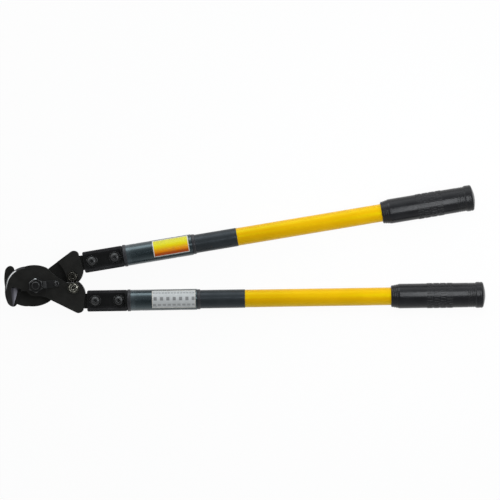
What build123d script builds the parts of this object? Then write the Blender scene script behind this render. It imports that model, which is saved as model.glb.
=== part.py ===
"""Long-handled cable cutter: two hooked blades on one pivot, two insulated handles.

The pivot axis is Z.  +X runs from the pivot to the grips, half way between the handles.
The tool lies on the floor at z = 0, on the head of its pivot bolt and the two grip flanges.
Distances along a handle are measured from the foot of its axis beside the pivot.
"""
import os
from math import cos, radians, sin, sqrt, tan

from build123d import *

os.makedirs("parts", exist_ok=True)

# ---- handles: tube, sleeve, grip (millimetres and degrees) ----
HANDLE_ANGLE = 4.3            # each handle to the X axis, closed
UPPER_OFFSET = 22.2           # handle axis to the pivot, across X
LOWER_OFFSET = 24.5
TUBE_R = 13.3                 # glass-fibre tube
TUBE_WALL = 3.2
UPPER_TUBE_L = 482.6
LOWER_TUBE_L = 485.4
BOND = 0.08                   # glue line between nested parts, radial
SPIGOT_L = 36.6               # round end of the bracket, inside the sleeve
SPIGOT_GAP = 1.0              # spigot to the end of the tube
FRONT_RING_WALL = 3.07
FRONT_RING_L = 5.0
SLEEVE_WALL = 2.32
SLEEVE_L = 99.3
REAR_RING_WALL = 1.62
REAR_RING_L = 5.0
RING_CHAMFER = 0.7
COVER_WALL = 0.5
UPPER_COVER_L = 63.4
LOWER_COVER_L = 66.9
PLUG_L = 18.0
PIN_R = 2.5
PIN_CLEAR = 0.05
PIN_SUNK = 0.3                # pin ends below the skin of the sleeve
SPIGOT_PIN_INSET = 16.0       # pin to the end of the spigot
TUBE_PIN_INSET = 42.0         # pin to the start of the tube

GRIP_WALL = 5.1
GRIP_OVERLAP = 127.8          # grip over the tube
GRIP_CAP = 13.6               # closed end past the tube
GRIP_NOSE_WALL = 2.9
GRIP_NOSE_CHAMFER = 1.0
GRIP_TAPER = 13.0
FLANGE_PROUD = 1.05           # end flange above the grip
FLANGE_L = 13.5
FLANGE_RAMP = 1.5
FLANGE_CORNER = 3.4
FLANGE_GROOVE_INSET = 5.5     # groove behind the front of the flange
GRIP_DOME = 2.8
PAD_COUNT = 28                # raised pads round the grip
PAD_ROWS = 4
PAD_INSET = 54.0              # first row behind the grip's nose
PAD_L = 8.0
PAD_GAP = 2.0
PAD_W = 2.2
PAD_PROUD = 0.4
GROOVE_DEPTH = 0.5
GROOVE_W = 1.1
GROOVE_PITCH = 3.0
NOSE_GROOVE_COUNT = 3
NOSE_GROOVE_INSET = 3.5       # first groove behind the grip's nose
REAR_GROOVE_COUNT = 4
REAR_GROOVE_TO_FLANGE = 12.0  # first groove of the rear group to the flange

LABEL_T = 0.2
LABEL_CLEAR = 0.02
UPPER_LABEL_INSET = 40.6      # label to the front end of the sleeve
UPPER_LABEL_L = 54.0
UPPER_LABEL_ANGLE = 104.0
UPPER_LABEL_TURN = 14.0       # middle of the label turned from the top towards +Y
LOWER_LABEL_INSET = 32.1
LOWER_LABEL_L = 65.0
LOWER_LABEL_ANGLE = 110.0
LOWER_LABEL_TURN = 5.0

# ---- blades ----
BLADE_T = 10.0                # one blade
BLADE_PLAY = 0.06             # between the two ground faces
BODY_R = 30.6                 # round body under the pivot
BODY_LOW_X = 2.0
HEEL_X = 18.0
HEEL_Y = 25.1
BACK_R = 33.0                 # outside of the hook
BACK_X = -14.2
BACK_Y = 3.0
BACK_CHAMFER = 2.8
FRONT_TIP_Y = 28.5            # reach of each hook past the X axis
REAR_TIP_Y = 32.8
HOOK_SIDE_BULGE = 1.0
TIP_X = -38.0
TIP_OUTER_X = -45.4
TIP_OUTER_DROP = 8.0
TIP_OUTER_BULGE = 1.63
TIP_INNER_X = -31.0
TIP_INNER_DROP = 5.5
TIP_INNER_BULGE = 1.95
THROAT_X = -27.0              # cutting edge
THROAT_Y = 6.3
THROAT_R = 6.5
THROAT_RISE = 0.7             # slope of the ledge between throat and boss
BOSS_R = 16.0
BOSS_MID = 125.0              # angles round the pivot
BOSS_TO = 80.0
BEVEL_W = 10.0
BEVEL_LAND = 0.8
BEVEL_HOLLOW = 0.8            # depth of the hollow grind under its chord
BEVEL_FROM_Y = 2.0
NECK_X = 21.0
NECK_Y = 24.3
NECK_HOLLOW = 1.53
LOBE_FROM_X = 56.2
LOBE_FROM_Y = 45.8
LOBE_X = 62.1
LOBE_Y = 46.6
LOBE_TO_X = 66.8
LOBE_TO_Y = 42.9
SHOULDER_X = 67.6
SHOULDER_Y = 38.9
CROTCH_SIDE_X = 72.2
CROTCH_SIDE_Y = 17.5
CROTCH_X = 63.7
CROTCH_BULGE = 2.05
TAIL_GAP = 0.06               # tail face to the X axis
TAIL_R = 47.5                 # radius at which a tail is free of the other blade
TAIL_FACE_PAST = 1.0          # tail face inside that radius
WEB_X = 33.0
WEB_Y = 9.0
TANG_T = 12.0
TANG_W = 22.4
TANG_CLEAR = 0.7              # end of the tang to the end wall of its slot
TANG_ROOT = 4.0               # tang sunk into the tail

# ---- pivot hardware ----
PIVOT_R = 6.0
PIVOT_CLEAR = 0.05
PIVOT_AF = 19.0               # bolt head and nut, across flats
PIVOT_NUT_T = 10.0
PIVOT_END = 2.2               # thread showing past the nut
PIVOT_END_ROUND = 1.4
THREAD_FIT = 0.02
HEX_BEVEL = 30.0              # slope of the turned corners of nuts and bolt heads, degrees
WASHER_R = 12.0
WASHER_T = 1.7
WASHER_CLEAR = 0.3
STRIP_W = 11.0                # strip of the tab washer
TAB_W = 10.0
TAB_T = 6.0
TAB_RISE = 6.0
TAB_ROUND = 1.2
LOCK_SCREW_X = 30.6
LOCK_SCREW_R = 2.5
LOCK_SCREW_L = 8.0
LOCK_HOLE_GAP = 1.0
LOCK_HEAD_R = 4.0
LOCK_HEAD_T = 2.6
LOCK_HEAD_ROUND = 1.2
LOCK_SLOT_W = 1.2
LOCK_SLOT_DEPTH = 0.9

# ---- stop bolts in the tails ----
STOP_X = 55.3
STOP_Y = 8.5
STOP_CLEAR = 0.05             # flange rim to the X axis
STOP_FLANGE_T = 1.8
STOP_HEAD_R = 6.6
STOP_HEAD_T = 4.6
STOP_HEAD_ROUND = 1.4
STOP_SOCKET_AF = 6.0
STOP_SOCKET_DEPTH = 3.2
STOP_SHANK_R = 4.0
STOP_NUT_AF = 13.0
STOP_NUT_T = 5.0
THREAD_SHOWN = 1.2            # thread past the stop and bracket nuts
THREAD_CHAMFER = 0.6

# ---- brackets that clamp the tangs ----
BRACKET_START = 74.2
BRACKET_L = 60.2
BRACKET_RAIL = 4.5            # side wall beside the slot
BRACKET_CHEEK = 5.9           # wall above and below the slot
BRACKET_END_WALL = 3.2
BRACKET_CORNER_R = 2.5
BRACKET_CHAMFER = 1.2
SLOT_CLEAR = 0.1
RECESS_DEPTH = 2.5            # sunk field that takes the bolt heads
RECESS_END_WALL = 3.4
RECESS_CORNER_R = 2.0
BOLT_INSET = 12.3             # first bolt behind the bracket's start
BOLT_PITCH = 35.0
BOLT_R = 4.0
BOLT_CLEAR = 0.2
BOLT_HEAD_R = 7.5
BOLT_HEAD_T = 5.5
BOLT_HEAD_RIM = 1.4
BOLT_SOCKET_AF = 5.0
BOLT_SOCKET_DEPTH = 2.6
BOLT_WASHER_R = 8.6
BOLT_WASHER_T = 1.2
BOLT_NUT_AF = 13.0
BOLT_NUT_T = 6.3

CUT_OVER = 5.0                # how far a cut runs past the face that it opens
MITRE = sqrt(0.5)

# ---- radii and heights worked out from the values above ----
FIT_R = TUBE_R + BOND
SLEEVE_R = FIT_R + SLEEVE_WALL
GRIP_R = FIT_R + GRIP_WALL
FLANGE_R = GRIP_R + FLANGE_PROUD
AXIS_Z = FLANGE_R
SEAM = BLADE_PLAY / 2
FRONT_TOP = AXIS_Z + BLADE_T
REAR_BOTTOM = AXIS_Z - BLADE_T
WASHER_BOTTOM = REAR_BOTTOM - PIVOT_CLEAR - WASHER_T
NUT_BOTTOM = FRONT_TOP + WASHER_T
NUT_TOP = NUT_BOTTOM + PIVOT_NUT_T
SLOT_T = TANG_T + 2 * SLOT_CLEAR
SLOT_W = TANG_W + 2 * SLOT_CLEAR
BRACKET_W = SLOT_W + 2 * BRACKET_RAIL
BRACKET_H = SLOT_T + 2 * BRACKET_CHEEK
RECESS_FACE = BRACKET_H / 2 - RECESS_DEPTH
BOLT_SEAT = RECESS_FACE + BOLT_WASHER_T
BOLT_TIP = BOLT_SEAT + BOLT_NUT_T + THREAD_SHOWN
STOP_TIP = REAR_BOTTOM - STOP_NUT_T - THREAD_SHOWN

# ---- places along a handle ----
BRACKET_END = BRACKET_START + BRACKET_L
SLOT_END = BRACKET_END - BRACKET_END_WALL
RECESS_END = BRACKET_END - RECESS_END_WALL
TANG_END = SLOT_END - TANG_CLEAR
SPIGOT_END = BRACKET_END + SPIGOT_L
TUBE_START = SPIGOT_END + SPIGOT_GAP
SLEEVE_START = BRACKET_END + FRONT_RING_L
SLEEVE_END = SLEEVE_START + SLEEVE_L
COVER_START = SLEEVE_END + REAR_RING_L
BOLT_SPOTS = [(BRACKET_START + BOLT_INSET, 0), (BRACKET_START + BOLT_INSET + BOLT_PITCH, 0)]
SPIGOT_PIN = (SPIGOT_END - SPIGOT_PIN_INSET, 0)
TUBE_PIN = (TUBE_START + TUBE_PIN_INSET, 0)


def handle_plane(side):
    """Flat plane on the handle axis: local x runs along the handle towards the grip."""
    a = radians(HANDLE_ANGLE)
    y = UPPER_OFFSET if side > 0 else -LOWER_OFFSET
    return Plane(origin=(0, y, AXIS_Z), x_dir=(cos(a), side * sin(a), 0), z_dir=(0, 0, 1))


def blade_outline(side, tip_y):
    """Whole outline of one blade; its tail goes to the handle on this side of X."""
    def at(x, y):
        return (x, side * y)

    def round_boss(angle):
        return at(BOSS_R * cos(radians(angle)), BOSS_R * sin(radians(angle)))

    heel = at(HEEL_X, -HEEL_Y)
    back_foot = at(BACK_X, BACK_Y - BACK_R)
    back_side = at(BACK_X - BACK_R, BACK_Y)
    back_middle = at(BACK_X - MITRE * BACK_R, BACK_Y - MITRE * BACK_R)
    tip_outer = at(TIP_OUTER_X, tip_y - TIP_OUTER_DROP)
    tip = at(TIP_X, tip_y)
    tip_inner = at(TIP_INNER_X, tip_y - TIP_INNER_DROP)
    throat_top = at(THROAT_X, THROAT_Y + THROAT_R)
    throat_middle = at(THROAT_X + THROAT_R * (1 - MITRE), THROAT_Y + THROAT_R * (1 - MITRE))
    throat_foot = at(THROAT_X + THROAT_R, THROAT_Y)
    ledge_y = THROAT_Y + THROAT_RISE
    ledge = at(-sqrt(BOSS_R**2 - ledge_y**2), ledge_y)
    neck = at(NECK_X, NECK_Y)
    crotch_side = at(CROTCH_SIDE_X, CROTCH_SIDE_Y)
    crotch = at(CROTCH_X, TAIL_GAP)
    with BuildLine() as outline:
        ThreePointArc(heel, at(BODY_LOW_X, -BODY_R), back_foot)
        ThreePointArc(back_foot, back_middle, back_side)
        SagittaArc(back_side, tip_outer, side * HOOK_SIDE_BULGE)
        SagittaArc(tip_outer, tip, side * TIP_OUTER_BULGE)
        SagittaArc(tip, tip_inner, side * TIP_INNER_BULGE)
        Line(tip_inner, throat_top)
        ThreePointArc(throat_top, throat_middle, throat_foot)
        Line(throat_foot, ledge)
        ThreePointArc(ledge, round_boss(BOSS_MID), round_boss(BOSS_TO))
        SagittaArc(round_boss(BOSS_TO), neck, -side * NECK_HOLLOW)
        Line(neck, at(LOBE_FROM_X, LOBE_FROM_Y))
        ThreePointArc(at(LOBE_FROM_X, LOBE_FROM_Y), at(LOBE_X, LOBE_Y), at(LOBE_TO_X, LOBE_TO_Y))
        Polyline(at(LOBE_TO_X, LOBE_TO_Y), at(SHOULDER_X, SHOULDER_Y), crotch_side)
        SagittaArc(crotch_side, crotch, side * CROTCH_BULGE)
        Polyline(crotch, at(TAIL_R - TAIL_FACE_PAST, TAIL_GAP), at(WEB_X, -WEB_Y), heel)
    return outline.line


def blade(side, tip_y, plate_low, plate_high):
    """One blade: hooked plate, a tail of full thickness clear of its mate, and a tang."""
    line = blade_outline(side, tip_y)
    outer, seam, up = (plate_high, plate_low, 1) if side < 0 else (plate_low, plate_high, -1)
    flat = handle_plane(side)
    with BuildPart() as part:
        with BuildSketch(Plane.XY.offset(plate_low)):
            with BuildLine():
                add(line)
            make_face()
        extrude(amount=plate_high - plate_low)
        # ground chamfer round the back of the hook, turned through a quarter circle
        back = (BACK_X, side * BACK_Y, outer)
        with BuildSketch(Plane(origin=back, x_dir=(0, -side, 0), z_dir=(-side, 0, 0))):
            with BuildLine():
                Polyline(
                    (BACK_R - BACK_CHAMFER - CUT_OVER, up * CUT_OVER), (BACK_R + CUT_OVER, up * CUT_OVER),
                    (BACK_R + CUT_OVER, -up * (BACK_CHAMFER + CUT_OVER)), close=True,
                )
            make_face()
        revolve(axis=Axis(back, (0, 0, -side)), revolution_arc=90, mode=Mode.SUBTRACT)
        # full-thickness tail, outside the sweep of the other blade
        with BuildSketch(Plane.XY.offset(REAR_BOTTOM)):
            with BuildLine():
                add(line)
            make_face()
            Circle(TAIL_R, mode=Mode.SUBTRACT)
            with Locations((-BACK_R - TAIL_R, 0)):
                Rectangle(2 * TAIL_R, 4 * BACK_R, mode=Mode.SUBTRACT)
        extrude(amount=FRONT_TOP - REAR_BOTTOM)
        # tang
        with BuildSketch(flat.offset(-TANG_T / 2)):
            with Locations((SHOULDER_X - TANG_ROOT, 0)):
                Rectangle(TANG_END - SHOULDER_X + TANG_ROOT, TANG_W, align=(Align.MIN, Align.CENTER))
        extrude(amount=TANG_T)
        # ground bevel of the cutting edge, from a narrow land at the seam to the outer face
        hook_way = Vector(
            TIP_INNER_X - THROAT_X, side * (tip_y - TIP_INNER_DROP - THROAT_Y - THROAT_R), 0
        ).normalized()
        foot = Vector(THROAT_X, side * BEVEL_FROM_Y, seam + up * BEVEL_LAND)
        grind = Plane(origin=foot, x_dir=(-1, 0, 0), z_dir=hook_way)
        away = up if grind.y_dir.Z > 0 else -up
        rise = away * (BLADE_T - BEVEL_LAND)
        high = rise + away * CUT_OVER
        with BuildSketch(grind):
            with BuildLine():
                SagittaArc((0, 0), (BEVEL_W, rise), -away * BEVEL_HOLLOW)
                Polyline((BEVEL_W, rise), (BEVEL_W, high), (-CUT_OVER, high), (-CUT_OVER, 0), (0, 0))
            make_face()
        extrude(amount=2 * tip_y, mode=Mode.SUBTRACT)
        # holes for the pivot, the stop bolt and the bracket bolts
        with Locations((0, 0, AXIS_Z)):
            Cylinder(PIVOT_R + PIVOT_CLEAR, 4 * BLADE_T, mode=Mode.SUBTRACT)
        with Locations((STOP_X, side * STOP_Y, AXIS_Z)):
            Cylinder(STOP_SHANK_R + BOND, 4 * BLADE_T, mode=Mode.SUBTRACT)
        with BuildSketch(flat):
            with Locations(*BOLT_SPOTS):
                Circle(BOLT_R + BOLT_CLEAR)
        extrude(amount=TANG_T, both=True, mode=Mode.SUBTRACT)
    return part


def hex_piece(seat, across_flats, thickness, bore=0.0, rotation=0.0):
    """Nut or bolt head that grows from its seat plane, with turned corners on its outer face."""
    with BuildPart() as piece:
        with BuildSketch(seat):
            RegularPolygon(across_flats / 2, 6, major_radius=False, rotation=rotation)
            if bore:
                Circle(bore, mode=Mode.SUBTRACT)
        extrude(amount=thickness)
        drop = CUT_OVER * tan(radians(HEX_BEVEL))
        with BuildSketch(Plane(origin=seat.origin, x_dir=seat.x_dir, z_dir=-seat.y_dir)):
            with BuildLine():
                Polyline(
                    (across_flats / 2, thickness), (across_flats / 2 + CUT_OVER, thickness - drop),
                    (across_flats / 2 + CUT_OVER, thickness + CUT_OVER),
                    (across_flats / 2, thickness + CUT_OVER), close=True,
                )
            make_face()
        revolve(axis=Axis(seat.origin, seat.z_dir), mode=Mode.SUBTRACT)
    return piece.part


def export(part, name):
    """Labels one finished piece and writes its file."""
    part.label = name
    export_step(part, f"parts/{name}.step")


# ---- blades ----
front = blade(-1, FRONT_TIP_Y, AXIS_Z + SEAM, FRONT_TOP)
with BuildPart() as front_blade:
    add(front.part)
    with BuildSketch(Plane.XY.offset(FRONT_TOP)):
        with Locations((LOCK_SCREW_X, 0)):
            Circle(LOCK_SCREW_R + BOND)
    extrude(amount=WASHER_T - LOCK_SCREW_L - LOCK_HOLE_GAP, mode=Mode.SUBTRACT)
export(front_blade.part, "front_blade")

rear_blade = blade(1, REAR_TIP_Y, REAR_BOTTOM, AXIS_Z - SEAM)
export(rear_blade.part, "rear_blade")

# ---- pivot hardware ----
with BuildPart() as pivot_bolt:
    add(hex_piece(Plane(origin=(0, 0, WASHER_BOTTOM), z_dir=(0, 0, -1)), PIVOT_AF, WASHER_BOTTOM))
    with BuildSketch(Plane.XY.offset(WASHER_BOTTOM)):
        Circle(PIVOT_R)
    extrude(amount=NUT_TOP + PIVOT_END - WASHER_BOTTOM)
    fillet(pivot_bolt.faces().sort_by(Axis.Z)[-1].edges(), radius=PIVOT_END_ROUND)
export(pivot_bolt.part, "pivot_bolt")

with BuildPart() as pivot_washer:
    with BuildSketch(Plane.XY.offset(WASHER_BOTTOM)):
        Circle(WASHER_R)
        Circle(PIVOT_R + WASHER_CLEAR, mode=Mode.SUBTRACT)
    extrude(amount=WASHER_T)
export(pivot_washer.part, "pivot_washer")

with BuildPart() as tab_washer:
    with BuildSketch(Plane.XY.offset(FRONT_TOP)):
        Circle(WASHER_R)
        with Locations((LOCK_SCREW_X / 2, 0)):
            Rectangle(LOCK_SCREW_X, STRIP_W)
        with Locations((LOCK_SCREW_X, 0)):
            Circle(STRIP_W / 2)
            Circle(LOCK_SCREW_R + WASHER_CLEAR, mode=Mode.SUBTRACT)
        Circle(PIVOT_R + WASHER_CLEAR, mode=Mode.SUBTRACT)
    extrude(amount=WASHER_T)
    # tab bent up beside one flat of the nut
    with BuildSketch(Plane.XY.offset(NUT_BOTTOM)):
        with Locations((PIVOT_AF / 2 + BOND + TAB_T / 2, 0)):
            Rectangle(TAB_T, TAB_W)
    extrude(amount=TAB_RISE)
    fillet(tab_washer.edges().filter_by(Axis.Y).sort_by(Axis.Z)[-2:], radius=TAB_ROUND)
export(tab_washer.part, "tab_washer")

pivot_nut = hex_piece(
    Plane.XY.offset(NUT_BOTTOM), PIVOT_AF, PIVOT_NUT_T, bore=PIVOT_R + THREAD_FIT, rotation=30
)
export(pivot_nut, "pivot_nut")

with BuildPart() as lock_screw:
    with BuildSketch(Plane.XY.offset(NUT_BOTTOM)):
        with Locations((LOCK_SCREW_X, 0)):
            Circle(LOCK_HEAD_R)
    extrude(amount=LOCK_HEAD_T)
    fillet(lock_screw.faces().sort_by(Axis.Z)[-1].edges(), radius=LOCK_HEAD_ROUND)
    with BuildSketch(Plane.XY.offset(NUT_BOTTOM)):
        with Locations((LOCK_SCREW_X, 0)):
            Circle(LOCK_SCREW_R)
    extrude(amount=-LOCK_SCREW_L)
    with BuildSketch(Plane.XY.offset(NUT_BOTTOM + LOCK_HEAD_T)):
        with Locations((LOCK_SCREW_X, 0)):
            Rectangle(LOCK_SLOT_W, 3 * LOCK_HEAD_R)
    extrude(amount=-LOCK_SLOT_DEPTH, mode=Mode.SUBTRACT)
export(lock_screw.part, "lock_screw")

# ---- handles, the same pieces on both sides ----
for name, side, cover_length, tube_length, label_inset, label_length, label_angle, label_turn in (
    ("upper", 1, UPPER_COVER_L, UPPER_TUBE_L,
     UPPER_LABEL_INSET, UPPER_LABEL_L, UPPER_LABEL_ANGLE, UPPER_LABEL_TURN),
    ("lower", -1, LOWER_COVER_L, LOWER_TUBE_L,
     LOWER_LABEL_INSET, LOWER_LABEL_L, LOWER_LABEL_ANGLE, LOWER_LABEL_TURN),
):
    cover_end = COVER_START + cover_length
    tube_end = TUBE_START + tube_length
    grip_start = tube_end - GRIP_OVERLAP
    grip_end = tube_end + GRIP_CAP
    flange_start = grip_end - FLANGE_L
    flat = handle_plane(side)
    along = Axis(flat.origin, flat.x_dir)
    upright = Plane(origin=flat.origin, x_dir=flat.x_dir, z_dir=flat.y_dir)

    def ring(start, end, inner, outer):
        """Profile of a ring between two distances along the handle and two radii."""
        with BuildSketch(upright) as profile:
            with Locations(((start + end) / 2, (inner + outer) / 2)):
                Rectangle(end - start, outer - inner)
        return profile.sketch

    with BuildPart() as bracket:
        with BuildSketch(flat.offset(-BRACKET_H / 2)):
            with Locations(((BRACKET_START + BRACKET_END) / 2, 0)):
                RectangleRounded(BRACKET_L, BRACKET_W, BRACKET_CORNER_R)
        extrude(amount=BRACKET_H)
        chamfer(bracket.faces().filter_by(Axis.Z).edges(), length=BRACKET_CHAMFER)
        # slot for the tang
        with BuildSketch(flat.offset(-SLOT_T / 2)):
            with Locations((SLOT_END, 0)):
                Rectangle(BRACKET_L, SLOT_W, align=(Align.MAX, Align.CENTER))
        extrude(amount=SLOT_T, mode=Mode.SUBTRACT)
        # sunk fields between the side rails, top and bottom
        for z in (RECESS_FACE, -BRACKET_H / 2):
            with BuildSketch(flat.offset(z)):
                with Locations((RECESS_END, 0)):
                    RectangleRounded(BRACKET_L, SLOT_W, RECESS_CORNER_R, align=(Align.MAX, Align.CENTER))
            extrude(amount=RECESS_DEPTH, mode=Mode.SUBTRACT)
        with BuildSketch(flat):
            with Locations(*BOLT_SPOTS):
                Circle(BOLT_R + BOLT_CLEAR)
        extrude(amount=BRACKET_H, both=True, mode=Mode.SUBTRACT)
        # round spigot with its pin hole
        revolve(ring(SLOT_END + BRACKET_END_WALL / 2, SPIGOT_END, 0, TUBE_R), axis=along)
        with BuildSketch(upright):
            with Locations(SPIGOT_PIN):
                Circle(PIN_R + PIN_CLEAR)
        extrude(amount=2 * TUBE_R, both=True, mode=Mode.SUBTRACT)
    export(bracket.part, f"{name}_bracket")

    with BuildPart() as bolts:
        for s, _ in BOLT_SPOTS:
            middle = flat.from_local_coords((s, 0, 0))
            with BuildSketch(Plane(origin=middle, x_dir=flat.x_dir, z_dir=-flat.y_dir)):
                with BuildLine():
                    Polyline(
                        (0, BOLT_SEAT + BOLT_HEAD_T), (0, -BOLT_TIP), (BOLT_R - THREAD_CHAMFER, -BOLT_TIP),
                        (BOLT_R, THREAD_CHAMFER - BOLT_TIP), (BOLT_R, BOLT_SEAT),
                        (BOLT_HEAD_R, BOLT_SEAT), (BOLT_HEAD_R, BOLT_SEAT + BOLT_HEAD_RIM),
                    )
                    ThreePointArc(
                        (BOLT_HEAD_R, BOLT_SEAT + BOLT_HEAD_RIM),
                        (2 * BOLT_HEAD_R / 3, BOLT_SEAT + 4 * BOLT_HEAD_T / 5),
                        (0, BOLT_SEAT + BOLT_HEAD_T),
                    )
                make_face()
            revolve(axis=Axis(middle, (0, 0, 1)))
        with BuildSketch(flat.offset(BOLT_SEAT + BOLT_HEAD_T - BOLT_SOCKET_DEPTH)):
            with Locations(*BOLT_SPOTS):
                RegularPolygon(BOLT_SOCKET_AF / 2, 6, major_radius=False)
        extrude(amount=BOLT_HEAD_T, mode=Mode.SUBTRACT)
    export(bolts.part, f"{name}_bracket_bolts")

    with BuildPart() as washers:
        for z in (RECESS_FACE, -BOLT_SEAT):
            with BuildSketch(flat.offset(z)):
                with Locations(*BOLT_SPOTS):
                    Circle(BOLT_WASHER_R)
                    Circle(BOLT_R + BOLT_CLEAR, mode=Mode.SUBTRACT)
            extrude(amount=BOLT_WASHER_T)
    export(washers.part, f"{name}_bracket_washers")

    with BuildPart() as nuts:
        for s, _ in BOLT_SPOTS:
            seat = Plane(
                origin=flat.from_local_coords((s, 0, -BOLT_SEAT)), x_dir=flat.x_dir, z_dir=-flat.z_dir
            )
            add(hex_piece(seat, BOLT_NUT_AF, BOLT_NUT_T, bore=BOLT_R + THREAD_FIT))
    export(nuts.part, f"{name}_bracket_nuts")

    stop_spot = (STOP_X, side * STOP_Y)
    with BuildPart() as stop_bolt:
        with BuildSketch(Plane.XY.offset(FRONT_TOP)):
            with Locations(stop_spot):
                Circle(STOP_Y - STOP_CLEAR)
        extrude(amount=STOP_FLANGE_T)
        with BuildSketch(Plane.XY.offset(FRONT_TOP + STOP_FLANGE_T)):
            with Locations(stop_spot):
                Circle(STOP_HEAD_R)
        extrude(amount=STOP_HEAD_T)
        head_top = stop_bolt.faces().sort_by(Axis.Z)[-1]
        fillet(head_top.edges(), radius=STOP_HEAD_ROUND)
        with BuildSketch(Plane.XY.offset(FRONT_TOP + STOP_FLANGE_T + STOP_HEAD_T)):
            with Locations(stop_spot):
                RegularPolygon(STOP_SOCKET_AF / 2, 6, major_radius=False)
        extrude(amount=-STOP_SOCKET_DEPTH, mode=Mode.SUBTRACT)
        with BuildSketch(Plane.XY.offset(STOP_TIP)):
            with Locations(stop_spot):
                Circle(STOP_SHANK_R)
        extrude(amount=FRONT_TOP - STOP_TIP)
        chamfer(stop_bolt.faces().sort_by(Axis.Z)[0].edges(), length=THREAD_CHAMFER)
    export(stop_bolt.part, f"{name}_stop_bolt")

    stop_seat = Plane(origin=(STOP_X, side * STOP_Y, REAR_BOTTOM), z_dir=(0, 0, -1))
    stop_nut = hex_piece(stop_seat, STOP_NUT_AF, STOP_NUT_T, bore=STOP_SHANK_R + THREAD_FIT)
    export(stop_nut, f"{name}_stop_nut")

    with BuildPart() as front_ring:
        revolve(ring(BRACKET_END, SLEEVE_START, FIT_R, FIT_R + FRONT_RING_WALL), axis=along)
        outer_edges = front_ring.edges().filter_by(GeomType.CIRCLE).sort_by(SortBy.RADIUS)[-2:]
        chamfer(outer_edges, length=RING_CHAMFER)
    export(front_ring.part, f"{name}_front_ring")

    with BuildPart() as sleeve:
        revolve(ring(SLEEVE_START, SLEEVE_END, FIT_R, SLEEVE_R), axis=along)
        with BuildSketch(upright):
            with Locations(SPIGOT_PIN, TUBE_PIN):
                Circle(PIN_R + PIN_CLEAR)
        extrude(amount=2 * SLEEVE_R, both=True, mode=Mode.SUBTRACT)
    export(sleeve.part, f"{name}_sleeve")

    with BuildPart() as rear_ring:
        revolve(ring(SLEEVE_END, COVER_START, FIT_R, FIT_R + REAR_RING_WALL), axis=along)
        outer_edges = rear_ring.edges().filter_by(GeomType.CIRCLE).sort_by(SortBy.RADIUS)[-2:]
        chamfer(outer_edges, length=RING_CHAMFER)
    export(rear_ring.part, f"{name}_rear_ring")

    with BuildPart() as cover:
        revolve(ring(COVER_START, cover_end, FIT_R, FIT_R + COVER_WALL), axis=along)
    export(cover.part, f"{name}_tube_cover")

    with BuildPart() as tube:
        revolve(ring(TUBE_START, tube_end, TUBE_R - TUBE_WALL, TUBE_R), axis=along)
        with BuildSketch(upright):
            with Locations(TUBE_PIN):
                Circle(PIN_R + PIN_CLEAR)
        extrude(amount=2 * TUBE_R, both=True, mode=Mode.SUBTRACT)
    export(tube.part, f"{name}_tube")

    with BuildPart() as plug:
        revolve(ring(tube_end - PLUG_L, tube_end, 0, TUBE_R - TUBE_WALL - BOND), axis=along)
    export(plug.part, f"{name}_tube_plug")

    with BuildPart() as pins:
        with BuildSketch(upright):
            with Locations(SPIGOT_PIN, TUBE_PIN):
                Circle(PIN_R)
        extrude(amount=SLEEVE_R - PIN_SUNK, both=True)
    export(pins.part, f"{name}_cross_pins")

    with BuildPart() as grip:
        nose_r = FIT_R + GRIP_NOSE_WALL
        rim_r = FLANGE_R - FLANGE_CORNER
        rim_s = grip_end - GRIP_DOME
        corner_turn = FLANGE_CORNER * (1 - MITRE)
        dome_r = (rim_r**2 + GRIP_DOME**2) / (2 * GRIP_DOME)
        dome_middle = (grip_end - dome_r + sqrt(dome_r**2 - rim_r**2 / 4), rim_r / 2)
        with BuildSketch(upright):
            with BuildLine():
                Polyline(
                    (grip_end, 0), (tube_end, 0), (tube_end, FIT_R), (grip_start, FIT_R),
                    (grip_start, nose_r - GRIP_NOSE_CHAMFER), (grip_start + GRIP_NOSE_CHAMFER, nose_r),
                    (grip_start + GRIP_TAPER, GRIP_R), (flange_start - FLANGE_RAMP, GRIP_R),
                    (flange_start, FLANGE_R), (rim_s - FLANGE_CORNER, FLANGE_R),
                )
                ThreePointArc(
                    (rim_s - FLANGE_CORNER, FLANGE_R),
                    (rim_s - corner_turn, FLANGE_R - corner_turn),
                    (rim_s, rim_r),
                )
                ThreePointArc((rim_s, rim_r), dome_middle, (grip_end, 0))
            make_face()
        revolve(axis=along)
        # fine grooves in the nose, before the flange and in the flange, each with the radius it is cut from
        slope = (GRIP_R - nose_r) / (GRIP_TAPER - GRIP_NOSE_CHAMFER)
        grooves = [(flange_start + FLANGE_GROOVE_INSET, FLANGE_R)]
        for k in range(NOSE_GROOVE_COUNT):
            inset = NOSE_GROOVE_INSET + k * GROOVE_PITCH
            grooves.append((grip_start + inset, nose_r + slope * (inset - GRIP_NOSE_CHAMFER)))
        for k in range(REAR_GROOVE_COUNT):
            grooves.append((flange_start - REAR_GROOVE_TO_FLANGE + k * GROOVE_PITCH, GRIP_R))
        for s, r in grooves:
            with BuildSketch(upright):
                with Locations((s, r - GROOVE_DEPTH)):
                    Rectangle(GROOVE_W, CUT_OVER, align=(Align.CENTER, Align.MIN))
            revolve(axis=along, mode=Mode.SUBTRACT)
        # rows of raised pads, each row half a step round from the last
        for k in range(PAD_ROWS):
            row_foot = flat.from_local_coords((grip_start + PAD_INSET + k * (PAD_L + PAD_GAP), 0, 0))
            with BuildSketch(Plane(origin=row_foot, z_dir=flat.x_dir)):
                with PolarLocations(GRIP_R, PAD_COUNT, start_angle=180 * k / PAD_COUNT):
                    Rectangle(2 * PAD_PROUD, PAD_W)
            extrude(amount=PAD_L)
    export(grip.part, f"{name}_grip")

    label_foot = flat.from_local_coords((SLEEVE_START + label_inset, 0, 0))
    inner = SLEEVE_R + LABEL_CLEAR
    outer = inner + LABEL_T
    with BuildPart() as label:
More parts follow.
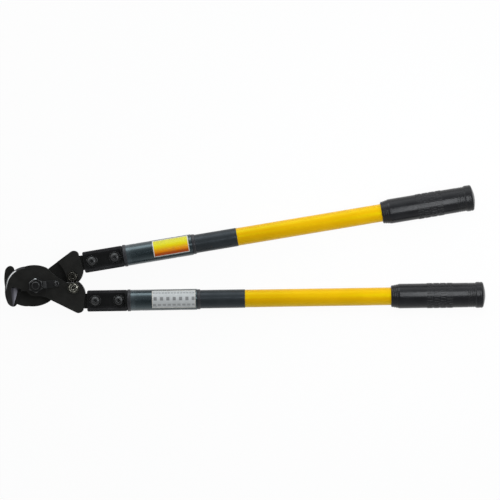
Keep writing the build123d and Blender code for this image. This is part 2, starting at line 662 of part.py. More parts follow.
        # local angles run from the top towards -Y
        first = -label_turn - label_angle / 2
        with BuildSketch(Plane(origin=label_foot, x_dir=(0, 0, 1), z_dir=flat.x_dir)):
            with BuildLine():
                for r in (inner, outer):
                    CenterArc((0, 0), r, first, label_angle)
                for a in (radians(first), radians(first + label_angle)):
                    Line((inner * cos(a), inner * sin(a)), (outer * cos(a), outer * sin(a)))
            make_face()
        extrude(amount=label_length)
    export(label.part, f"{name}_label")
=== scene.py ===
"""A long-handled cable cutter: finishes, worked edges, studio floor, light and camera."""
from math import cos, radians, sin

import bpy
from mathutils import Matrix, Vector


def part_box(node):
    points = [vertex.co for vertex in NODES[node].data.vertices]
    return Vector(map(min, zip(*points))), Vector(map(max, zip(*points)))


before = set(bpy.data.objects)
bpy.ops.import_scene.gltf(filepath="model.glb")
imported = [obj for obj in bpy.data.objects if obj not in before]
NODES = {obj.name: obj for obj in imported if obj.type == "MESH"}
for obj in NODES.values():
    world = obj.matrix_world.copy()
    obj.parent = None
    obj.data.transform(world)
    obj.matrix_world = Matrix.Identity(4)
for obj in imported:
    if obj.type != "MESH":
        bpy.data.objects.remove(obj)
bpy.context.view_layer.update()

SIDES = {"upper": 1, "lower": -1}

# ---- sizes shared with the solids, in metres: x from the pivot to the grips, z up ----
MM = 0.001
HANDLE_ANGLE = radians(4.3)
HANDLE_OFFSETS = {"upper": 22.2 * MM, "lower": 24.5 * MM}
AXIS_Z = (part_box("upper_tube")[0].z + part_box("upper_tube")[1].z) / 2
FRONT_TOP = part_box("front_blade")[1].z
REAR_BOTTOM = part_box("rear_blade")[0].z

# the circle of the hook's back, and the chamfer ground on it
BACK_X = -14.2 * MM
BACK_Y = 3.0 * MM
BACK_R = 33.0 * MM
BACK_CHAMFER = 2.8 * MM
CHAMFER_SLACK = 0.12 * MM
CHAMFER_SOFT = 0.1 * MM

# its bright strip, a painted highlight, by angles from -x round that circle, away from the hook's tip
STRIP_FROM = radians(6)
STRIP_FULL = radians(46)
STRIP_TO = radians(61)
STRIP_END_SOFT = radians(4)
STRIP_THIN = 0.4 * MM
STRIP_WIDE = 1.9 * MM
STRIP_SOFT = 0.25 * MM

# the cutting bevel, and the lighter band, a painted highlight, that runs up its middle
BEVEL_X = (-37.8 * MM, -26.3 * MM)
BEVEL_SLOPE = (0.35, 0.95)        # upward share of its normal
BEVEL_SLOPE_SOFT = 0.02
BEVEL_SIDE_SOFT = 0.4 * MM
BEVEL_END_SOFT = 1.0 * MM
HIGHLIGHT_BAND_X = -31.6 * MM
HIGHLIGHT_BAND_LEAN = -0.10
HIGHLIGHT_BAND_HALF = (0.8 * MM, 3.4 * MM)  # off its middle: still full, and gone
GRIND_STRETCH = 0.08              # the grinding lines are drawn out along the edge

# fasteners: heights, and how far the painted glints and the tab's paler top reach
TAB_FACE = FRONT_TOP + 5.0 * MM
TAB_FADE = 1.5 * MM
FLANGE_FACE = FRONT_TOP + 1.9 * MM
FLANGE_FADE = 0.3 * MM
NUT_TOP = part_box("pivot_nut")[1].z
NUT_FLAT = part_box("pivot_nut")[1].x
NUT_GLINT_SIDE = radians(120)           # way that the side with the painted glint faces, seen from above
NUT_GLINT_DOWN = (2.6 * MM, 1.6 * MM)
NUT_GLINT_IN = (2.6 * MM, 1.2 * MM)
NUT_GLINT_X = (-8.8 * MM, -6.4 * MM)

# bracket rails painted lighter than their shaded sunk field, and the painted reflection at the front of the
# sleeves, across and along a handle
RAIL_FROM = 7.0 * MM
RAIL_FULL = 11.3 * MM
SLEEVE_START = 139.4 * MM
FRONT_GLEAM_FULL = 5.0 * MM
FRONT_GLEAM_GONE = 9.0 * MM
FRONT_GLEAM_RAGGED = 2.0 * MM

# labels: ends along the handle, angle covered, and how far they are turned from the top
LABEL_R = 15.9 * MM
LABEL_BORDER = (1.1 * MM, 1.4 * MM)
UPPER_LABEL = {"ends": (180.0 * MM, 234.0 * MM), "span": radians(104), "turn": radians(14)}
LOWER_LABEL = {"ends": (171.5 * MM, 236.5 * MM), "span": radians(110), "turn": radians(5)}

# rows of dashes: middle and half height as shares of half the label, pitch, half dash by pitch
TOP_ROW = (0.64, 0.06, 4.6 * MM, 0.34)
BOLD_ROW = (0.02, 0.15, 9.5 * MM, 0.22)
FOOT_ROW = (-0.60, 0.08, 7.3 * MM, 0.30)
ROW_SOFT = 0.05
DASH_SOFT = 0.06


# ---- node tools ----
def put(tree, kind, inputs=None, **settings):
    """Adds one node. Its inputs are values, or outputs of other nodes to link from."""
    made = tree.nodes.new(kind)
    for name, value in settings.items():
        setattr(made, name, value)
    for name, value in (inputs or {}).items():
        if isinstance(value, bpy.types.NodeSocket):
            tree.links.new(value, made.inputs[name])
        else:
            made.inputs[name].default_value = value
    return made


def give(tree, socket, value):
    """Links an output to an input."""
    tree.links.new(value, socket)


def work(tree, operation, *values):
    """Output of one Math node."""
    return put(tree, "ShaderNodeMath", dict(enumerate(values)), operation=operation).outputs[0]


def times(tree, first, *others):
    """Product of several values."""
    for other in others:
        first = work(tree, "MULTIPLY", first, other)
    return first


def spread(tree, value, low, high, to_low=0.0, to_high=1.0):
    """Value carried from one range to another and held inside it."""
    sockets = {"Value": value, "From Min": low, "From Max": high, "To Min": to_low, "To Max": to_high}
    return put(tree, "ShaderNodeMapRange", sockets, clamp=True).outputs["Result"]


def between(tree, value, low, high, soft):
    """1 where the value lies between two limits, fading to 0 over a soft edge outside them."""
    over = spread(tree, value, low - soft, low)
    return times(tree, over, spread(tree, value, high, high + soft, 1.0, 0.0))


def apart(tree, vector):
    """The X, Y and Z outputs of a vector."""
    return put(tree, "ShaderNodeSeparateXYZ", {"Vector": vector}).outputs


def noise(tree, vector, scale, detail, distortion=0.0):
    """Output of one Noise node."""
    sockets = {"Vector": vector, "Scale": scale, "Detail": detail, "Distortion": distortion}
    return put(tree, "ShaderNodeTexNoise", sockets).outputs["Fac"]


def blend_colours(tree, factor, first, second):
    """Output of one colour mix: 0 gives the first colour, 1 the second."""
    mixer = put(tree, "ShaderNodeMix", data_type="RGBA")
    for index, value in ((0, factor), (6, first), (7, second)):
        if isinstance(value, bpy.types.NodeSocket):
            tree.links.new(value, mixer.inputs[index])
        else:
            mixer.inputs[index].default_value = value
    return mixer.outputs[2]


def ramp(tree, factor, stops):
    """Colour ramp with (place, colour) stops."""
    made = put(tree, "ShaderNodeValToRGB", {"Fac": factor})
    elements = made.color_ramp.elements
    while len(elements) < len(stops):
        elements.new(1.0)
    for element, (place, colour) in zip(elements, stops):
        element.position = place
        element.color = colour
    return made.outputs["Color"]


def fresh_tree(owner):
    """Empty node tree of a material or world."""
    owner.use_nodes = True
    owner.node_tree.nodes.clear()
    return owner.node_tree


def tone(r, g, b):
    """Linear colour with full alpha."""
    return (r, g, b, 1.0)


def grey(v):
    """Linear grey."""
    return tone(v, v, v)


# ---- shared effects, each a node group with its own inputs and outputs ----
def effect(name, inputs, outputs):
    """Empty node group; returns its tree, its input sockets and its output sockets."""
    tree = bpy.data.node_groups.new(name, "ShaderNodeTree")
    for label, kind, value in inputs:
        socket = tree.interface.new_socket(name=label, in_out="INPUT", socket_type="NodeSocket" + kind)
        if value is not None:
            socket.default_value = value
    for label, kind in outputs:
        tree.interface.new_socket(name=label, in_out="OUTPUT", socket_type="NodeSocket" + kind)
    return tree, tree.nodes.new("NodeGroupInput").outputs, tree.nodes.new("NodeGroupOutput").inputs


def make_worn_edges():
    """Mask of rubbed outer edges, broken up by grain, and the normal of the softened edge."""
    tree, given, out = effect(
        "Worn edges",
        (
            ("Vector", "Vector", None), ("Radius", "Float", 0.6 * MM), ("Amount", "Float", 0.5),
            ("Scale", "Float", 700.0),
        ),
        (("Mask", "Float"), ("Normal", "Vector")),
    )
    soft = put(tree, "ShaderNodeBevel", {"Radius": given["Radius"]}, samples=6).outputs["Normal"]
    flat = put(tree, "ShaderNodeNewGeometry").outputs["Normal"]
    facing = put(tree, "ShaderNodeVectorMath", {0: soft, 1: flat}, operation="DOT_PRODUCT")
    turn = spread(tree, facing.outputs["Value"], 0.997, 0.90)  # 0 on a flat face, 1 on an edge
    patches = noise(tree, given["Vector"], given["Scale"], 3.0)
    worn = work(tree, "ADD", turn, work(tree, "SUBTRACT", patches, 0.5))
    limit = work(tree, "SUBTRACT", 1.0, given["Amount"])
    give(tree, out["Mask"], spread(tree, work(tree, "SUBTRACT", worn, limit), 0.0, 0.25))
    give(tree, out["Normal"], soft)
    return tree


def make_grain():
    """Fine height and slow tone variation of a moulded, cast or painted skin."""
    tree, given, out = effect(
        "Grain",
        (("Vector", "Vector", None), ("Scale", "Float", 900.0), ("Waviness", "Float", 0.3)),
        (("Height", "Float"), ("Tone", "Float")),
    )
    fine = noise(tree, given["Vector"], given["Scale"], 4.0)
    slow = noise(tree, given["Vector"], times(tree, given["Scale"], 0.06), 3.0)
    give(tree, out["Height"], work(tree, "ADD", fine, times(tree, slow, given["Waviness"])))
    give(tree, out["Tone"], spread(tree, slow, 0.3, 0.7))
    return tree


def make_scratches():
    """Mask of thin scuffs that lie mostly along x."""
    tree, given, out = effect(
        "Scratches",
        (
            ("Vector", "Vector", None), ("Scale", "Float", 60.0), ("Stretch", "Float", 25.0),
            ("Amount", "Float", 0.3),
        ),
        (("Mask", "Float"),),
    )
    parts = apart(tree, given["Vector"])
    pressed = put(tree, "ShaderNodeCombineXYZ", {
        "X": parts["X"],
        "Y": times(tree, parts["Y"], given["Stretch"]),
        "Z": times(tree, parts["Z"], given["Stretch"]),
    })
    thin = spread(tree, noise(tree, pressed.outputs[0], given["Scale"], 2.0), 0.64, 0.72)
    where = spread(tree, noise(tree, given["Vector"], given["Scale"], 2.0), 0.5, 0.62)
    give(tree, out["Mask"], times(tree, thin, where, given["Amount"]))
    return tree


def make_smudges():
    """Large soft patches left by hands and oil."""
    tree, given, out = effect(
        "Smudges",
        (("Vector", "Vector", None), ("Scale", "Float", 45.0)),
        (("Mask", "Float"),),
    )
    warped = noise(tree, given["Vector"], given["Scale"], 5.0, distortion=0.8)
    give(tree, out["Mask"], spread(tree, warped, 0.42, 0.66))
    return tree


WORN_EDGES = make_worn_edges()
GRAIN = make_grain()
SCRATCHES = make_scratches()
SMUDGES = make_smudges()


def use(tree, group, **inputs):
    """Places a shared effect in a material; returns its outputs."""
    return put(tree, "ShaderNodeGroup", inputs, node_tree=group).outputs


# ---- what the materials share ----
def start_material(name, **shader_values):
    """New material; returns it with its tree and its main shader."""
    material = bpy.data.materials.new(name)
    tree = fresh_tree(material)
    shader = put(tree, "ShaderNodeBsdfPrincipled", {k.replace("_", " "): v for k, v in shader_values.items()})
    output = put(tree, "ShaderNodeOutputMaterial")
    give(tree, output.inputs["Surface"], shader.outputs["BSDF"])
    return material, tree, shader


def row_place(tree):
    """Place on the whole object, in metres."""
    return put(tree, "ShaderNodeTexCoord").outputs["Object"]


def handle_place(tree, side):
    """Place on one handle: x along it, y across it, z up from its axis."""
    return put(tree, "ShaderNodeMapping", {
        "Vector": row_place(tree),
        "Location": (0, SIDES[side] * HANDLE_OFFSETS[side], AXIS_Z),
        "Rotation": (0, 0, SIDES[side] * HANDLE_ANGLE),
    }, vector_type="TEXTURE").outputs["Vector"]


def bump(tree, height, distance, normal=None):
    """Output of one Bump node."""
    sockets = {"Height": height, "Distance": distance}
    if normal is not None:
        sockets["Normal"] = normal
    return put(tree, "ShaderNodeBump", sockets).outputs["Normal"]


def finish_skin(tree, shader, place, dark, light, worn, rough, grain, relief, wear, scratch=0.15):
    """The common skin: two tones, smudged gloss, scuffs, rubbed edges and a fine relief.

    rough is the roughness where the skin is clean and where it is smudged, grain is how fine the
    grain is and relief its height, and wear and scratch are how much is rubbed and scuffed.
    Returns the mask of what is rubbed.
    """
    skin = use(tree, GRAIN, Vector=place, Scale=grain)
    edge = use(tree, WORN_EDGES, Vector=place, Amount=wear)
    scuff = use(tree, SCRATCHES, Vector=place, Amount=scratch)
    smudge = use(tree, SMUDGES, Vector=place)
    colour = blend_colours(tree, skin["Tone"], dark, light)
    rubbed = work(tree, "MAXIMUM", edge["Mask"], scuff["Mask"])
    give(tree, shader.inputs["Base Color"], blend_colours(tree, rubbed, colour, worn))
    gloss = spread(tree, smudge["Mask"], 0.0, 1.0, rough[0], rough[1])
    give(tree, shader.inputs["Roughness"], work(tree, "MULTIPLY_ADD", scuff["Mask"], 0.15, gloss))
    give(tree, shader.inputs["Normal"], bump(tree, skin["Height"], relief, normal=edge["Normal"]))
    return rubbed


def plain_skin(name, skin, side=None, **shader_values):
    """A material that has only the common skin."""
    material, tree, shader = start_material(name, **shader_values)
    place = row_place(tree) if side is None else handle_place(tree, side)
    finish_skin(tree, shader, place, **skin)
    return material


def paint_over(tree, shader, mask, colour):
    """Lays a colour over what the shader has so far, where the mask is 1."""
    under = shader.inputs["Base Color"].links[0].from_socket
    give(tree, shader.inputs["Base Color"], blend_colours(tree, mask, under, colour))


def patchy(tree, mask, place, scale, least, low=0.0, high=1.0):
    """The mask, thinned to its least share between soft patches."""
    patch = use(tree, SMUDGES, Vector=place, Scale=scale)
    return times(tree, mask, spread(tree, patch["Mask"], low, high, least, 1.0))


# ---- blades ----
def ground_chamfer(tree, side, parts):
    """Chamfer on the back of the hook: the whole of it, and the strip of it where a bright highlight is
    painted.
    """
    x = work(tree, "SUBTRACT", parts["X"], BACK_X)
    y = work(tree, "MULTIPLY_ADD", parts["Y"], side, -BACK_Y)
    away = work(tree, "SQRT", work(tree, "ADD", work(tree, "POWER", x, 2.0), work(tree, "POWER", y, 2.0)))
    outer_face = FRONT_TOP if side < 0 else REAR_BOTTOM
    depth = work(tree, "ABSOLUTE", work(tree, "SUBTRACT", parts["Z"], outer_face))
    cone = work(tree, "SUBTRACT", work(tree, "SUBTRACT", away, depth), BACK_R - BACK_CHAMFER)
    on_cone = between(tree, cone, -CHAMFER_SLACK, CHAMFER_SLACK, CHAMFER_SOFT)
    turn = work(tree, "ARCTAN2", times(tree, y, -1.0), times(tree, x, -1.0))
    width = spread(tree, turn, STRIP_FROM, STRIP_FULL, STRIP_THIN, STRIP_WIDE)
    inside = spread(tree, work(tree, "SUBTRACT", width, depth), 0.0, STRIP_SOFT)
    # painted highlight: bright only over the part of the chamfer that faces the light
    bright = times(tree, inside, between(tree, turn, STRIP_FROM, STRIP_TO, STRIP_END_SOFT))
    return on_cone, times(tree, on_cone, bright)


def ground_bevel(tree, side, parts):
    """Hollow-ground face of the cutting edge, known by its slope and its place."""
    normal = put(tree, "ShaderNodeNewGeometry").outputs["True Normal"]
    up = work(tree, "ABSOLUTE", apart(tree, normal)["Z"])
    sloped = between(tree, up, BEVEL_SLOPE[0], BEVEL_SLOPE[1], BEVEL_SLOPE_SOFT)
    in_x = between(tree, parts["X"], BEVEL_X[0], BEVEL_X[1], BEVEL_SIDE_SOFT)
    in_y = spread(tree, times(tree, parts["Y"], side), 0.0, BEVEL_END_SOFT)
    return times(tree, sloped, in_x, in_y)


def bevel_colour(tree, side, place, parts):
    """Dull ground steel, with a painted highlight: a lighter band up the edge, broken by grinding lines."""
    lean = work(tree, "MULTIPLY_ADD", times(tree, parts["Y"], side), HIGHLIGHT_BAND_LEAN, HIGHLIGHT_BAND_X)
    off_band = work(tree, "ABSOLUTE", work(tree, "SUBTRACT", parts["X"], lean))
    drawn = put(tree, "ShaderNodeMapping", {"Vector": place, "Scale": (1.0, GRIND_STRETCH, GRIND_STRETCH)})
    streaks = noise(tree, drawn.outputs["Vector"], 1400.0, 2.0)
    # painted highlight: a lighter band up the middle of the bevel, broken by the grinding lines
    highlight_band = spread(tree, off_band, HIGHLIGHT_BAND_HALF[0], HIGHLIGHT_BAND_HALF[1], 1.0, 0.0)
    streaked_highlight = times(tree, highlight_band, spread(tree, streaks, 0.3, 0.6, 0.55, 1.0))
    return blend_colours(tree, streaked_highlight, tone(0.088, 0.085, 0.098), tone(0.310, 0.303, 0.340))


def blade_black(name, side):
    """Blackened forged steel, dull ground steel on the back chamfer and the cutting bevel, with painted
    highlights: a bright strip on the chamfer and a lighter band up the bevel.
    """
    material, tree, shader = start_material(name, Specular_IOR_Level=0.16)
    place = row_place(tree)
    finish_skin(
        tree, shader, place, dark=tone(0.0150, 0.0146, 0.0133), light=tone(0.0225, 0.0218, 0.0200),
        worn=grey(0.042), rough=(0.36, 0.50), grain=1100.0, relief=0.06 * MM, wear=0.42,
    )
    parts = apart(tree, place)
    chamfer, highlight_strip = ground_chamfer(tree, side, parts)
    bevel = ground_bevel(tree, side, parts)
    lines = use(tree, SCRATCHES, Vector=place, Scale=300.0, Stretch=12.0, Amount=1.0)
    paint_over(tree, shader, times(tree, chamfer, 0.5), tone(0.034, 0.033, 0.038))
    paint_over(tree, shader, bevel, bevel_colour(tree, side, place, parts))
    # painted highlight: the strip is laid in bright ground steel where the chamfer catches the light
    paint_over(tree, shader, highlight_strip, blend_colours(tree, lines["Mask"], grey(0.50), grey(0.28)))
    give(tree, shader.inputs["Metallic"], work(tree, "MAXIMUM", highlight_strip, bevel))
    return material


# ---- fasteners ----
BLACK_STEEL = {
    "dark": grey(0.060), "light": grey(0.10), "worn": grey(0.15), "rough": (0.24, 0.36),
    "grain": 1500.0, "relief": 0.03 * MM, "wear": 0.5,
}


def black_steel():
    """Oiled black steel of the bracket washers and nuts."""
    return plain_skin("black_steel", BLACK_STEEL, Metallic=1.0)


def nut_black():
    """The pivot nut: blackened, with a painted highlight on its top chamfer along half of one side."""
    material, tree, shader = start_material("nut_black", Metallic=1.0)
    place = row_place(tree)
    finish_skin(tree, shader, place, **BLACK_STEEL)
    parts = apart(tree, place)
    near_top = spread(tree, parts["Z"], NUT_TOP - NUT_GLINT_DOWN[0], NUT_TOP - NUT_GLINT_DOWN[1])
    out = work(tree, "MULTIPLY_ADD", parts["X"], cos(NUT_GLINT_SIDE), times(tree, parts["Y"], sin(NUT_GLINT_SIDE)))
    near_side = spread(tree, out, NUT_FLAT - NUT_GLINT_IN[0], NUT_FLAT - NUT_GLINT_IN[1])
    one_half = spread(tree, parts["X"], NUT_GLINT_X[0], NUT_GLINT_X[1])
    # painted highlight: a glint of the light on the nut's top chamfer
    edge = times(tree, near_top, near_side, one_half)
    paint_over(tree, shader, patchy(tree, edge, place, 240.0, least=0.35, low=0.1, high=0.6), grey(0.48))
    return material


def tab_black():
    """The lock plate: blackened like the blade, with the top of the bent tab painted a paler dull grey."""
    material, tree, shader = start_material("tab_black", Specular_IOR_Level=0.16)
    place = row_place(tree)
    finish_skin(
        tree, shader, place, dark=grey(0.0130), light=grey(0.0200), worn=grey(0.040),
        rough=(0.36, 0.50), grain=1300.0, relief=0.04 * MM, wear=0.4,
    )
    # the tab's top face is painted paler
    top = spread(tree, apart(tree, place)["Z"], TAB_FACE, TAB_FACE + TAB_FADE)
    paint_over(tree, shader, patchy(tree, top, place, 260.0, least=0.65), grey(0.052))
    return material


def bolt_black():
    """Domed socket heads of the bracket bolts, rubbed at their edges."""
    skin = {
        "dark": grey(0.040), "light": grey(0.070), "worn": grey(0.15), "rough": (0.34, 0.46),
        "grain": 1500.0, "relief": 0.03 * MM, "wear": 0.5,
    }
    return plain_skin("bolt_black", skin, Metallic=1.0)


def bolt_steel():
    """Dark steel of the pivot bolt, its washer, the lock screw and the cross pins."""
    skin = {
        "dark": grey(0.055), "light": grey(0.085), "worn": grey(0.30), "rough": (0.28, 0.40),
        "grain": 1500.0, "relief": 0.03 * MM, "wear": 0.45,
    }
    return plain_skin("bolt_steel", skin, Metallic=1.0)


def zinc(name, dark, light, share):
    """Dark aged zinc plate with painted glints: bright patches on its rubbed edges and in soft blotches,
    fewer on the flange.
    """
    material, tree, shader = start_material(name, Metallic=1.0)
    place = row_place(tree)
    rubbed = finish_skin(
        tree, shader, place, dark=dark, light=dark, worn=dark, rough=(0.24, 0.42), grain=1300.0,
        relief=0.03 * MM, wear=0.35,
    )
    patch = use(tree, SMUDGES, Vector=place, Scale=330.0)
    # painted highlight: the blotches stand in for glints on the head's facets; the rubbed edges are wear
    wear_and_glints = times(tree, work(tree, "MAXIMUM", rubbed, patch["Mask"]), share)
    on_head = spread(tree, apart(tree, place)["Z"], FLANGE_FACE, FLANGE_FACE + FLANGE_FADE, 0.25, 1.0)
    paint_over(tree, shader, times(tree, wear_and_glints, on_head), light)
    return material


# ---- handles ----
def bracket_black(side):
    """Black paint, with the rails beside the sunk field painted lighter, so that the field looks shaded."""
    material, tree, shader = start_material(f"bracket_black_{side}", Specular_IOR_Level=0.14)
    place = handle_place(tree, side)
    finish_skin(
        tree, shader, place, dark=grey(0.0065), light=grey(0.0110), worn=grey(0.030),
        rough=(0.42, 0.55), grain=900.0, relief=0.10 * MM, wear=0.48,
    )
    across = work(tree, "ABSOLUTE", apart(tree, place)["Y"])
    # painted light: lighter rails against a sunk field left dark as if in shade
    lit_rail = spread(tree, across, RAIL_FROM, RAIL_FULL, 0.0, 0.7)
    paint_over(tree, shader, patchy(tree, lit_rail, place, 210.0, least=0.55), tone(0.033, 0.032, 0.034))
    return material


def ring_black():
    """Satin black of the rings at the sleeves' ends."""
    skin = {
        "dark": tone(0.023, 0.023, 0.026), "light": tone(0.037, 0.037, 0.041), "worn": grey(0.09),
        "rough": (0.34, 0.46), "grain": 1200.0, "relief": 0.04 * MM, "wear": 0.4,
    }
    return plain_skin("ring_black", skin, Specular_IOR_Level=0.3)


def sleeve_slate(side):
    """Glossy slate enamel, with a painted reflection: a paler band where the sleeve meets its front ring."""
    material, tree, shader = start_material(
        f"sleeve_slate_{side}", Specular_IOR_Level=0.8, Specular_Tint=tone(0.78, 0.95, 1.0))
    place = handle_place(tree, side)
    finish_skin(
        tree, shader, place, dark=tone(0.0100, 0.0155, 0.0180), light=tone(0.0160, 0.0225, 0.0255),
        worn=grey(0.08), rough=(0.24, 0.34), grain=700.0, relief=0.03 * MM, wear=0.35,
    )
    patch = use(tree, SMUDGES, Vector=place, Scale=260.0)
    ragged = work(tree, "MULTIPLY_ADD", patch["Mask"], FRONT_GLEAM_RAGGED, apart(tree, place)["X"])
    # painted reflection: a paler band at the front end of the sleeve
    front = spread(tree, ragged, SLEEVE_START + FRONT_GLEAM_FULL, SLEEVE_START + FRONT_GLEAM_GONE, 0.65, 0.0)
    paint_over(tree, shader, front, tone(0.050, 0.062, 0.068))
    return material


def cover_black(side):
    """Satin blue-black plastic of the tube covers."""
    skin = {
        "dark": tone(0.0165, 0.0195, 0.0210), "light": tone(0.0240, 0.0275, 0.0300),
        "worn": grey(0.08), "rough": (0.32, 0.42), "grain": 900.0, "relief": 0.04 * MM, "wear": 0.3,
    }
    return plain_skin(
        f"cover_black_{side}", skin, side, Specular_IOR_Level=0.28, Specular_Tint=tone(0.80, 0.90, 1.0))


def tube_yellow(side):
    """Warm yellow gel coat over glass fibre."""
    skin = {
        "dark": tone(0.722, 0.358, 0.002), "light": tone(0.778, 0.392, 0.003),
        "worn": tone(0.55, 0.34, 0.06), "rough": (0.36, 0.46), "grain": 500.0, "relief": 0.012 * MM,
        "wear": 0.2, "scratch": 0.12,
    }
    return plain_skin(
        f"tube_yellow_{side}", skin, side, Specular_Tint=tone(0.25, 1.0, 0.0), Specular_IOR_Level=1.0)


def plug_rubber():
    """Matt rubber of the plugs inside the tubes."""
    skin = {
        "dark": grey(0.02), "light": grey(0.03), "worn": grey(0.06), "rough": (0.6, 0.75),
        "grain": 900.0, "relief": 0.05 * MM, "wear": 0.2,
    }
    return plain_skin("plug_rubber", skin)


def grip_rubber(side):
    """Smooth black rubber with a soft sheen."""
    skin = {
        "dark": tone(0.0085, 0.0085, 0.0095), "light": tone(0.0135, 0.0135, 0.0150),
        "worn": grey(0.030), "rough": (0.22, 0.29), "grain": 800.0, "relief": 0.08 * MM, "wear": 0.3,
    }
    return plain_skin(f"grip_rubber_{side}", skin, side, Specular_IOR_Level=0.215)


# ---- labels ----
def label_face(name, side, label, field_colour):
    """A plain label on the sleeve: a coloured field, inside a pale border."""
    material, tree, shader = start_material(name, Specular_IOR_Level=0.16)
    place = handle_place(tree, side)
    parts = apart(tree, place)
    start, end = label["ends"]
    from_middle = work(tree, "SUBTRACT", work(tree, "ARCTAN2", parts["Y"], parts["Z"]), label["turn"])
    round_way = times(tree, from_middle, LABEL_R)
    along = work(tree, "SUBTRACT", parts["X"], start)
    reach = LABEL_R * label["span"] / 2
    to_side = work(tree, "SUBTRACT", reach, work(tree, "ABSOLUTE", round_way))
    to_end = work(tree, "MINIMUM", along, work(tree, "SUBTRACT", end, parts["X"]))
    inside = spread(tree, work(tree, "MINIMUM", to_side, to_end), LABEL_BORDER[0], LABEL_BORDER[1])
    field = field_colour(tree, along, work(tree, "DIVIDE", round_way, reach))
    smudge = use(tree, SMUDGES, Vector=place, Scale=80.0)
    printed = blend_colours(tree, inside, tone(0.62, 0.60, 0.55), field)
    soiled = blend_colours(tree, times(tree, smudge["Mask"], 0.12), printed, grey(0.12))
    give(tree, shader.inputs["Base Color"], soiled)
    give(tree, shader.inputs["Roughness"], spread(tree, smudge["Mask"], 0.0, 1.0, 0.28, 0.42))
    skin = use(tree, GRAIN, Vector=place, Scale=600.0)
    give(tree, shader.inputs["Normal"], bump(tree, skin["Height"], 0.02 * MM))
    return material


def warm_field(tree, along, height):
    """Yellow that deepens to orange red towards one edge."""
    return ramp(tree, spread(tree, height, -1.0, 1.0), (
        (0.0, tone(0.42, 0.050, 0.004)),
        (0.16, tone(0.46, 0.077, 0.002)),
        (0.27, tone(0.86, 0.265, 0.003)),
        (0.38, tone(0.83, 0.40, 0.002)),
        (0.48, tone(0.79, 0.57, 0.002)),
        (0.60, tone(0.76, 0.67, 0.002)),
        (0.72, tone(0.69, 0.63, 0.01)),
        (1.0, tone(0.60, 0.56, 0.10)),
    ))


def ruled_row(tree, along, height, row):
    """One row of plain dashes: 1 on a dash, 0 between dashes and outside the row."""
    middle, tall, pitch, half_dash = row
    off_row = work(tree, "ABSOLUTE", work(tree, "SUBTRACT", height, middle))
    in_row = spread(tree, off_row, tall + ROW_SOFT, tall)
    step = work(tree, "FRACT", work(tree, "DIVIDE", along, pitch))
    off_dash = work(tree, "ABSOLUTE", work(tree, "SUBTRACT", step, 0.5))
    return times(tree, in_row, spread(tree, off_dash, half_dash + DASH_SOFT, half_dash))


def grey_field(tree, along, height):
    """Silver with three rows of plain ruled dashes, the middle row the boldest."""
    top, bold, foot = [ruled_row(tree, along, height, row) for row in (TOP_ROW, BOLD_ROW, FOOT_ROW)]
    fine = times(tree, work(tree, "MAXIMUM", top, foot), 0.5)
    marks = work(tree, "MAXIMUM", fine, times(tree, bold, 0.75))
    return blend_colours(tree, marks, tone(0.54, 0.55, 0.545), grey(0.13))


# ---- which piece has which finish ----
def dress(material, *names):
    """Gives CAD nodes their material."""
    for name in names:
        for slot in NODES[name].material_slots:
            slot.material = material


def dress_head():
    """Blades and what holds them on the pivot."""
    dress(blade_black("front_blade_black", SIDES["lower"]), "front_blade")
    dress(blade_black("rear_blade_black", SIDES["upper"]), "rear_blade")
    dress(nut_black(), "pivot_nut")
    dress(tab_black(), "tab_washer")


def dress_fasteners():
    """Bolts, pins, washers and nuts; the upper stop bolt gets fewer painted glints than the lower."""
    dress(bolt_steel(), "pivot_bolt", "pivot_washer", "lock_screw", "upper_cross_pins", "lower_cross_pins")
    dress(bolt_black(), "upper_bracket_bolts", "lower_bracket_bolts")
    black = black_steel()
    for side in SIDES:
        dress(black, f"{side}_bracket_washers", f"{side}_bracket_nuts")
    dull = zinc("zinc_fewer_glints", dark=tone(0.020, 0.019, 0.017), light=tone(0.42, 0.40, 0.34), share=0.42)
    bright = zinc("zinc_more_glints", dark=tone(0.050, 0.048, 0.040), light=tone(0.74, 0.72, 0.62), share=0.9)
    dress(dull, "upper_stop_bolt", "upper_stop_nut")
    dress(bright, "lower_stop_bolt", "lower_stop_nut")


def dress_handles():
    """Brackets, sleeves, tubes, grips and labels."""
    rings, plugs = ring_black(), plug_rubber()
    for side in SIDES:
        dress(bracket_black(side), f"{side}_bracket")
        dress(rings, f"{side}_front_ring", f"{side}_rear_ring")
        dress(sleeve_slate(side), f"{side}_sleeve")
        dress(cover_black(side), f"{side}_tube_cover")
        dress(tube_yellow(side), f"{side}_tube")
        dress(plugs, f"{side}_tube_plug")
        dress(grip_rubber(side), f"{side}_grip")
    dress(label_face("label_warm", "upper", UPPER_LABEL, warm_field), "upper_label")
    dress(label_face("label_grey", "lower", LOWER_LABEL, grey_field), "lower_label")


# ---- camera, floor and light ----
VIEW_TURN = radians(-5.2)         # sets the lower handle level in the view
VIEW_MIDDLE = Vector((0.3238, 0.0240, 0.019))
VIEW_WIDTH = 0.750
VIEW_DISTANCE = 6.0
VIEW_END = 100.0
SENSOR = 36.0                     # millimetres, as the lens is
FLOOR_HALF = 4.0
FLOOR_GREY = 0.90
FLOOR_WHITE = 0.95                # share of plain white that the backdrop shows
CEILING_LIGHT = 0.06              # share of the walls' light straight overhead
FAR_WALL = (0.0, 0.8)             # across a direction, where the far wall's light comes in
WALL_LIGHT = (1.0, 2.45)          # near wall, far wall
GRIPS_X = 0.632
COVERS_X = 0.285
LAMP_Y = 0.06
LAMP_AIM_Y = 0.05


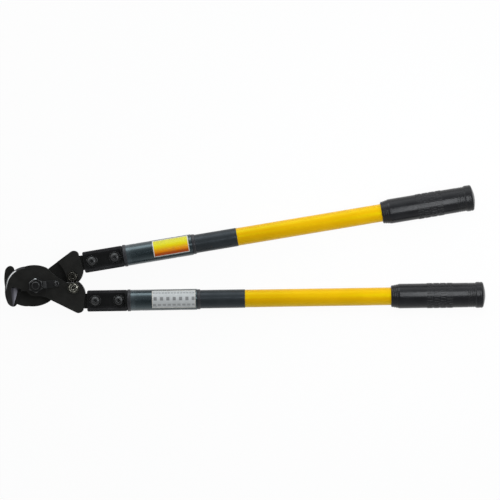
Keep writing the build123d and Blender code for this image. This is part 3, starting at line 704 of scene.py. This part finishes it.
def make_camera():
    """Looks straight down on the tool through a long lens."""
    data = bpy.data.cameras.new("camera")
    data.sensor_width = SENSOR
    data.lens = SENSOR * VIEW_DISTANCE / VIEW_WIDTH
    data.clip_end = VIEW_END
    camera = bpy.data.objects.new("camera", data)
    camera.location = VIEW_MIDDLE + Vector((0, 0, VIEW_DISTANCE))
    camera.rotation_euler = (0, 0, VIEW_TURN)
    bpy.context.scene.collection.objects.link(camera)
    bpy.context.scene.camera = camera


def shown_white(tree, lit, share):
    """White backdrop for camera, glossy and transmission rays, over a lit shader."""
    path = put(tree, "ShaderNodeLightPath").outputs
    mirrored = work(tree, "MAXIMUM", path["Is Glossy Ray"], path["Is Transmission Ray"])
    seen = work(tree, "MAXIMUM", path["Is Camera Ray"], mirrored)
    white = put(tree, "ShaderNodeEmission", {"Color": grey(1.0), "Strength": 1.0})
    mixer = put(tree, "ShaderNodeMixShader", {0: times(tree, seen, share), 1: lit, 2: white.outputs[0]})
    return mixer.outputs[0]


def make_floor():
    """Large pale floor that keeps a faint shadow."""
    half = FLOOR_HALF
    corners = [(-half, -half, 0), (half, -half, 0), (half, half, 0), (-half, half, 0)]
    mesh = bpy.data.meshes.new("floor")
    mesh.from_pydata(corners, [], [(0, 1, 2, 3)])
    floor = bpy.data.objects.new("floor", mesh)
    bpy.context.scene.collection.objects.link(floor)
    material = bpy.data.materials.new("floor_paper")
    tree = fresh_tree(material)
    paper = put(tree, "ShaderNodeBsdfDiffuse", {"Color": grey(FLOOR_GREY)})
    output = put(tree, "ShaderNodeOutputMaterial")
    give(tree, output.inputs["Surface"], shown_white(tree, paper.outputs[0], FLOOR_WHITE))
    mesh.materials.append(material)


def make_world():
    """Studio room: walls that fade up to a dark ceiling, brightest on the far side."""
    world = bpy.data.worlds.new("studio")
    bpy.context.scene.world = world
    tree = fresh_tree(world)
    way = apart(tree, put(tree, "ShaderNodeTexCoord").outputs["Generated"])
    height = spread(tree, way["Z"], 0.0, 1.0, 1.0, CEILING_LIGHT)
    side = spread(tree, way["Y"], FAR_WALL[0], FAR_WALL[1], WALL_LIGHT[0], WALL_LIGHT[1])
    strength = times(tree, height, side)
    room = put(tree, "ShaderNodeBackground", {"Color": tone(0.95, 0.98, 1.0), "Strength": strength})
    output = put(tree, "ShaderNodeOutputWorld")
    give(tree, output.inputs["Surface"], room.outputs[0])


def soft_light(name, place, aim, size, power, colour):
    """Rectangular soft light that isn't itself seen."""
    data = bpy.data.lights.new(name, "AREA")
    data.shape = "RECTANGLE"
    data.size, data.size_y = size
    data.energy = power
    data.color = colour
    light = bpy.data.objects.new(name, data)
    light.location = place
    light.rotation_euler = (Vector(aim) - Vector(place)).to_track_quat("-Z", "Y").to_euler()
    light.visible_camera = False
    bpy.context.scene.collection.objects.link(light)


def make_lights():
    """A cool window beyond the tool, and lamps that draw a line along the grips and covers."""
    soft_light(
        "window", place=(0.10, 1.10, 0.45), aim=(0.15, 0.0, 0.02), size=(0.50, 0.55), power=2.2,
        colour=(0.86, 0.96, 1.0),
    )
    soft_light(
        "over_grips", place=(GRIPS_X, LAMP_Y, 0.44), aim=(GRIPS_X, LAMP_AIM_Y, 0.0),
        size=(0.15, 0.31), power=1.22, colour=(0.94, 0.97, 1.0),
    )
    soft_light(
        "over_covers", place=(COVERS_X, LAMP_Y, 0.45), aim=(COVERS_X, LAMP_AIM_Y, 0.0),
        size=(0.13, 0.06), power=0.20, colour=(0.90, 0.95, 1.0),
    )


bpy.context.scene.view_settings.view_transform = "Standard"
make_camera()
make_floor()
make_world()
make_lights()
dress_head()
dress_fasteners()
dress_handles()
